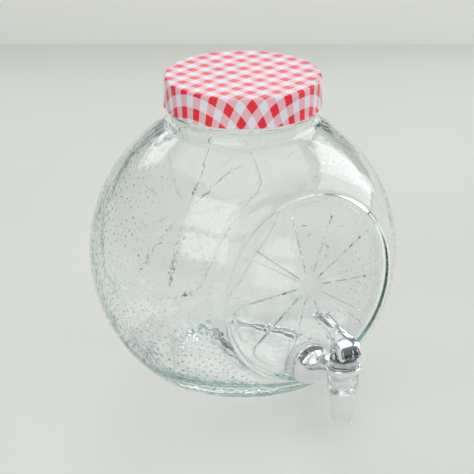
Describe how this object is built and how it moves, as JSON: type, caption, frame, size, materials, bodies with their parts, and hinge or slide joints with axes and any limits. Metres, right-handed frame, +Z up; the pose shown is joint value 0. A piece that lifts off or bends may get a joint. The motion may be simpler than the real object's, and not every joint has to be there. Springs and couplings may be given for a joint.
{
  "type": "beverage dispenser",
  "caption": "Round glass beverage jar with flat faces carrying a raised citrus slice, a gingham screw lid and a lever tap with a clear nozzle.",
  "frame": {"origin": "centre of the jar's round underside, on the surface it stands on", "axes": "+Z up, -Y out of the front face through the tap, +X to the right seen from the front"},
  "size_m": [0.218, 0.2239, 0.218],
  "materials": {
    "glass": "clear pressed glass with a green tint at its edges",
    "printed_tin": "gloss gingham print with a white curled edge",
    "liner": "soft white sealing compound",
    "chrome": "bright chrome plating",
    "silicone": "translucent pale silicone",
    "white_plastic": "satin white plastic",
    "grey_plastic": "satin pale grey plastic",
    "clear_plastic": "clear gloss plastic",
    "black_rubber": "matt black rubber",
    "dark_steel": "dark satin steel",
    "spring_steel": "bright drawn wire"
  },
  "bodies": {
    "jar": {"glass_jar": "glass", "tap_body": "chrome", "outer_gasket": "silicone", "inner_gasket": "silicone", "inner_washer": "white_plastic", "retaining_nut": "grey_plastic", "clear_barrel": "clear_plastic", "collar_seal": "silicone", "barrel_clip": "spring_steel", "barrel_cap": "clear_plastic", "stem_o_ring": "black_rubber", "return_spring": "spring_steel"},
    "lid_seal": {"lid_liner": "liner"},
    "lid": {"lid_shell": "printed_tin"},
    "valve": {"valve_stem": "dark_steel", "seat_cup": "silicone", "spring_washer": "spring_steel"},
    "lever": {"lever": "chrome", "lever_pin": "spring_steel"}
  },
  "joints": [
    {"name": "lid_rise", "type": "slide", "parent": "jar", "child": "lid_seal", "axis": [0, 0, 1], "range_m": [0, 0.024]},
    {"name": "lid_turn", "type": "hinge", "parent": "lid_seal", "child": "lid", "pos_m": [0, 0, 0.207], "axis": [0, 0, 1], "range_deg": [0, 360]},
    {"name": "valve_lift", "type": "slide", "parent": "jar", "child": "valve", "axis": [0, 0, 1], "range_m": [0, 0.003], "deforming": ["return_spring"]},
    {"name": "lever_pull", "type": "hinge", "parent": "valve", "child": "lever", "pos_m": [0, -0.128, 0.0595], "axis": [1, 0, 0], "range_deg": [0, 40], "stiffness_Nm_per_rad": 0.00923, "springref_deg": -79.98}
  ],
  "couplings": [
    {"joint": "lid_turn", "follows": "lid_rise", "rad_per_m": 261.8},
    {"joint": "lever_pull", "follows": "valve_lift", "rad_per_m": 232.71}
  ]
}
